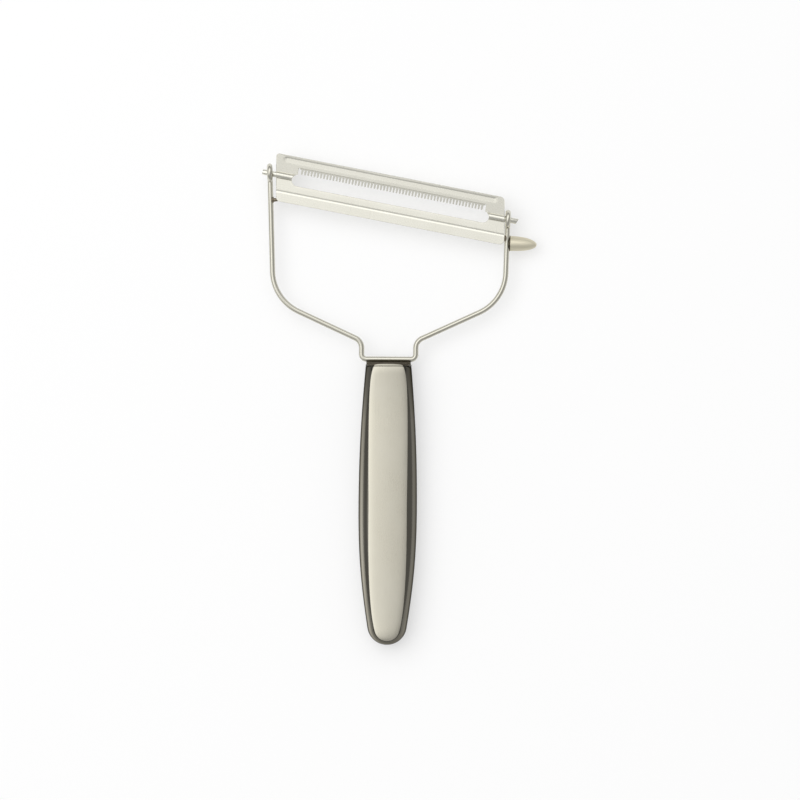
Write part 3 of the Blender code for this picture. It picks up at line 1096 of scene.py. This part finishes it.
def painted_streak_band(tree, shade, coordinates, painted_streak):
    """Painted reflection streak: brighter half way between middle plane and face, more so on the left
    flank and by the heel.
    """
    place = split(tree, coordinates)
    lift = combined(tree, "ABSOLUTE", place["Z"], 0)
    off = combined(tree, "ABSOLUTE", combined(tree, "SUBTRACT", lift, painted_streak_height), 0)
    band = ranged(tree, off, 0, painted_streak_width, painted_streak, 0)
    flank = ranged(tree, place["X"], -handle_half_width, handle_half_width, *painted_streak_flank_shares)
    heelward = ranged(tree, place["Y"], 0, handle_length, *painted_streak_heel_shares)
    band = combined(tree, "MULTIPLY", band, combined(tree, "MULTIPLY", flank, heelward))
    return combined(tree, "ADD", shade, band)


def painted_top_shade(tree, shade, coordinates, top_shade):
    """Painted shade: darker near the handle's top, under the crossbar."""
    along = split(tree, coordinates)["Y"]
    share = ranged(tree, along, handle_length - top_shade_reach, handle_length, 1, top_shade)
    return combined(tree, "MULTIPLY", shade, share)


def toned(tree, colour, tint, clouds, shade):
    """The steel's colour, which the clouds tint and the shade scales."""
    ramp = tree.nodes.new("ShaderNodeValToRGB")
    ramp.color_ramp.elements[0].color = (*(part * shift for part, shift in zip(colour, tint)), 1)
    ramp.color_ramp.elements[1].color = (*colour, 1)
    tree.links.new(clouds, ramp.inputs["Fac"])
    scaled = node(tree, "ShaderNodeVectorMath")
    scaled.operation = "SCALE"
    tree.links.new(ramp.outputs["Color"], scaled.inputs[0])
    tree.links.new(shade, scaled.inputs["Scale"])
    return scaled.outputs["Vector"]


def steel(name, colour, roughness, grain, grain_depth, spread, tint, painted_streak=0, top_shade=1, rim_tone=1):
    """Steel with a grain, cloudy patches, hair scratches and edges rubbed brighter, and where asked a
    painted reflection streak and painted shade near the handle's top.
    """
    material = bpy.data.materials.new(name)
    material.use_nodes = True
    tree = material.node_tree
    shader = tree.nodes["Principled BSDF"]
    shader.inputs["Metallic"].default_value = 1
    shader.inputs["Specular Tint"].default_value = (rim_tone, rim_tone, rim_tone, 1)
    coordinates = tree.nodes.new("ShaderNodeTexCoord").outputs["Object"]
    lines = noise(tree, coordinates, grain, line_detail)
    clouds = noise(tree, coordinates, cloud_scale, cloud_detail)
    hairs = noise(tree, coordinates, hair_scale, cloud_detail, hair_roughness)
    hair = ranged(tree, hairs, *hair_range, 0, 1)
    pointed = tree.nodes.new("ShaderNodeNewGeometry").outputs["Pointiness"]
    edge = ranged(tree, pointed, *edge_range, 0, 1)
    mixed = added(tree, combined(tree, "MULTIPLY", lines, grain_share), clouds, 1 - grain_share)
    shade = ranged(tree, mixed, *tone_range, 1 - spread, 1 + spread)
    shade = added(tree, shade, hair, -hair_tone)
    shade = added(tree, shade, edge, edge_tone)
    # Painted reflection streak
    if painted_streak:
        shade = painted_streak_band(tree, shade, coordinates, painted_streak)
    # Painted shade near the handle's top
    if top_shade < 1:
        shade = painted_top_shade(tree, shade, coordinates, top_shade)
    tree.links.new(toned(tree, colour, tint, clouds, shade), shader.inputs["Base Color"])
    gloss_range = (roughness * (1 - gloss_share), roughness * (1 + gloss_share))
    rough = ranged(tree, mixed, *tone_range, *gloss_range)
    rough = added(tree, rough, hair, hair_gloss)
    rough = added(tree, rough, edge, -edge_gloss)
    tree.links.new(rough, shader.inputs["Roughness"])
    bump = node(tree, "ShaderNodeBump", Strength=1, Distance=grain_depth)
    tree.links.new(lines, bump.inputs["Height"])
    tree.links.new(bump.outputs["Normal"], shader.inputs["Normal"])
    return material


panel_steel = steel(
    "Brushed panel steel",
    colour=(0.62, 0.595, 0.51),
    roughness=0.30,
    grain=lengthwise,
    grain_depth=0.000004,
    spread=0.04,
    tint=(0.97, 0.96, 0.93),
    # painted shade near the handle's top
    top_shade=0.9,
)
# Same steel as the panel, painted far darker as the shade it reflects from dim surroundings and shadowed
# floor; rim_tone darkens its grazing reflections too, and a painted reflection streak and painted shade
# near the top go over it
shaded_side_steel = steel(
    "Polished side steel with painted shade",
    colour=(0.15, 0.143, 0.123),
    roughness=0.14,
    grain=lengthwise,
    grain_depth=0.000001,
    spread=0.04,
    tint=(0.97, 0.95, 0.90),
    painted_streak=0.8,
    top_shade=0.45,
    rim_tone=0.3,
)
wire_steel = steel(
    "Drawn wire steel",
    colour=(0.63, 0.615, 0.54),
    roughness=0.18,
    grain=pitted,
    grain_depth=0.000002,
    spread=0.04,
    tint=(0.97, 0.96, 0.93),
)
blade_steel = steel(
    "Rolled blade steel",
    colour=(0.78, 0.765, 0.69),
    roughness=0.26,
    grain=crosswise,
    grain_depth=0.000003,
    spread=0.03,
    tint=(0.98, 0.98, 0.96),
)
gouger_steel = steel(
    "Pressed scoop steel",
    colour=(0.82, 0.78, 0.64),
    roughness=0.55,
    grain=pitted,
    grain_depth=0.000003,
    spread=0.04,
    tint=(0.97, 0.95, 0.90),
)
# Painted dark as shade, far darker than the wire the pegs stand on
shaded_peg_steel = steel(
    "Peg steel painted dark",
    colour=(0.24, 0.21, 0.165),
    roughness=0.30,
    grain=pitted,
    grain_depth=0.000003,
    spread=0.05,
    tint=(0.95, 0.92, 0.86),
)
# Near-black as painted shadow: the contact line under the crossbar and the gap at the gouger's root; the
# welds themselves are real
weld_and_shadow_steel = steel(
    "Weld steel painted as shadow",
    colour=(0.10, 0.09, 0.07),
    roughness=0.45,
    grain=pitted,
    grain_depth=0.00002,
    spread=0.12,
    tint=(0.85, 0.80, 0.72),
)

handle_shells(panel_steel, shaded_side_steel)
handle_cap(panel_steel, shaded_side_steel, weld_and_shadow_steel)
bow(wire_steel)
crossbar_weld(weld_and_shadow_steel)
blade_sheet(blade_steel)
comb(blade_steel)
pins(blade_steel)
stop_pegs(shaded_peg_steel)
gouger(gouger_steel, weld_and_shadow_steel)


# Floor, light and camera
def build_floor(shape):
    bmesh.ops.create_grid(shape, x_segments=floor_cells, y_segments=floor_cells, size=floor_half)


def lay_floor():
    material = bpy.data.materials.new("White floor")
    material.use_nodes = True
    shader = material.node_tree.nodes["Principled BSDF"]
    shader.inputs["Base Color"].default_value = floor_tone
    shader.inputs["Roughness"].default_value = floor_roughness
    shader.inputs["Specular IOR Level"].default_value = floor_specular
    tree = material.node_tree
    path = tree.nodes.new("ShaderNodeLightPath")
    seen = combined(tree, "MAXIMUM", path.outputs["Is Camera Ray"], path.outputs["Is Glossy Ray"])
    seen = combined(tree, "MAXIMUM", seen, path.outputs["Is Transmission Ray"])
    white = node(tree, "ShaderNodeEmission", Color=(1, 1, 1, 1), Strength=1)
    mix = tree.nodes.new("ShaderNodeMixShader")
    tree.links.new(combined(tree, "MULTIPLY", seen, floor_glow), mix.inputs[0])
    tree.links.new(shader.outputs[0], mix.inputs[1])
    tree.links.new(white.outputs[0], mix.inputs[2])
    tree.links.new(mix.outputs[0], tree.nodes["Material Output"].inputs["Surface"])
    mesh = mesh_from("floor", build_floor)
    mesh.materials.append(material)
    floor = bpy.data.objects.new("floor", mesh)
    bpy.context.scene.collection.objects.link(floor)


def light_world():
    """A bright ceiling, brighter towards the top left, over dim walls."""
    world = bpy.data.worlds.new("Studio")
    bpy.context.scene.world = world
    world.use_nodes = True
    tree = world.node_tree
    background = tree.nodes["Background"]
    background.inputs["Color"].default_value = (1, 1, 1, 1)
    direction = tree.nodes.new("ShaderNodeTexCoord").outputs["Generated"]
    leaning = tree.nodes.new("ShaderNodeVectorMath")
    leaning.operation = "DOT_PRODUCT"
    leaning.inputs[1].default_value = (-light_side, light_top, 0)
    tree.links.new(direction, leaning.inputs[0])
    ceiling = combined(tree, "MINIMUM", combined(tree, "ADD", leaning.outputs["Value"], 1), light_limit)
    share = ranged(tree, split(tree, direction)["Z"], wall_top, ceiling_start, 0, 1)
    level = combined(tree, "MAXIMUM", combined(tree, "MULTIPLY", ceiling, share), wall_level)
    tree.links.new(level, background.inputs["Strength"])


def add_lamp(name, place, size, power):
    lamp = bpy.data.lights.new(name, "AREA")
    lamp.shape = "RECTANGLE"
    lamp.size, lamp.size_y = size
    lamp.energy = power
    made = bpy.data.objects.new(name, lamp)
    made.location = place
    aim = Vector((0, 0, 0)) - Vector(place)
    made.rotation_euler = aim.to_track_quat("-Z", "Y").to_euler()
    made.visible_glossy = False
    bpy.context.scene.collection.objects.link(made)


def add_camera():
    camera = bpy.data.cameras.new("camera")
    camera.sensor_width = sensor * millimetres
    camera.lens = sensor * millimetres * camera_distance / frame_width
    camera.clip_end = 10 * camera_distance
    made = bpy.data.objects.new("camera", camera)
    made.location = (*frame_centre, camera_distance + handle_half_thickness)
    made.rotation_euler = (0, 0, frame_turn)
    bpy.context.scene.collection.objects.link(made)
    bpy.context.scene.camera = made


lay_floor()
light_world()
add_lamp("key", key_place, key_size, key_power)
add_camera()
bpy.context.scene.view_settings.view_transform = "Standard"
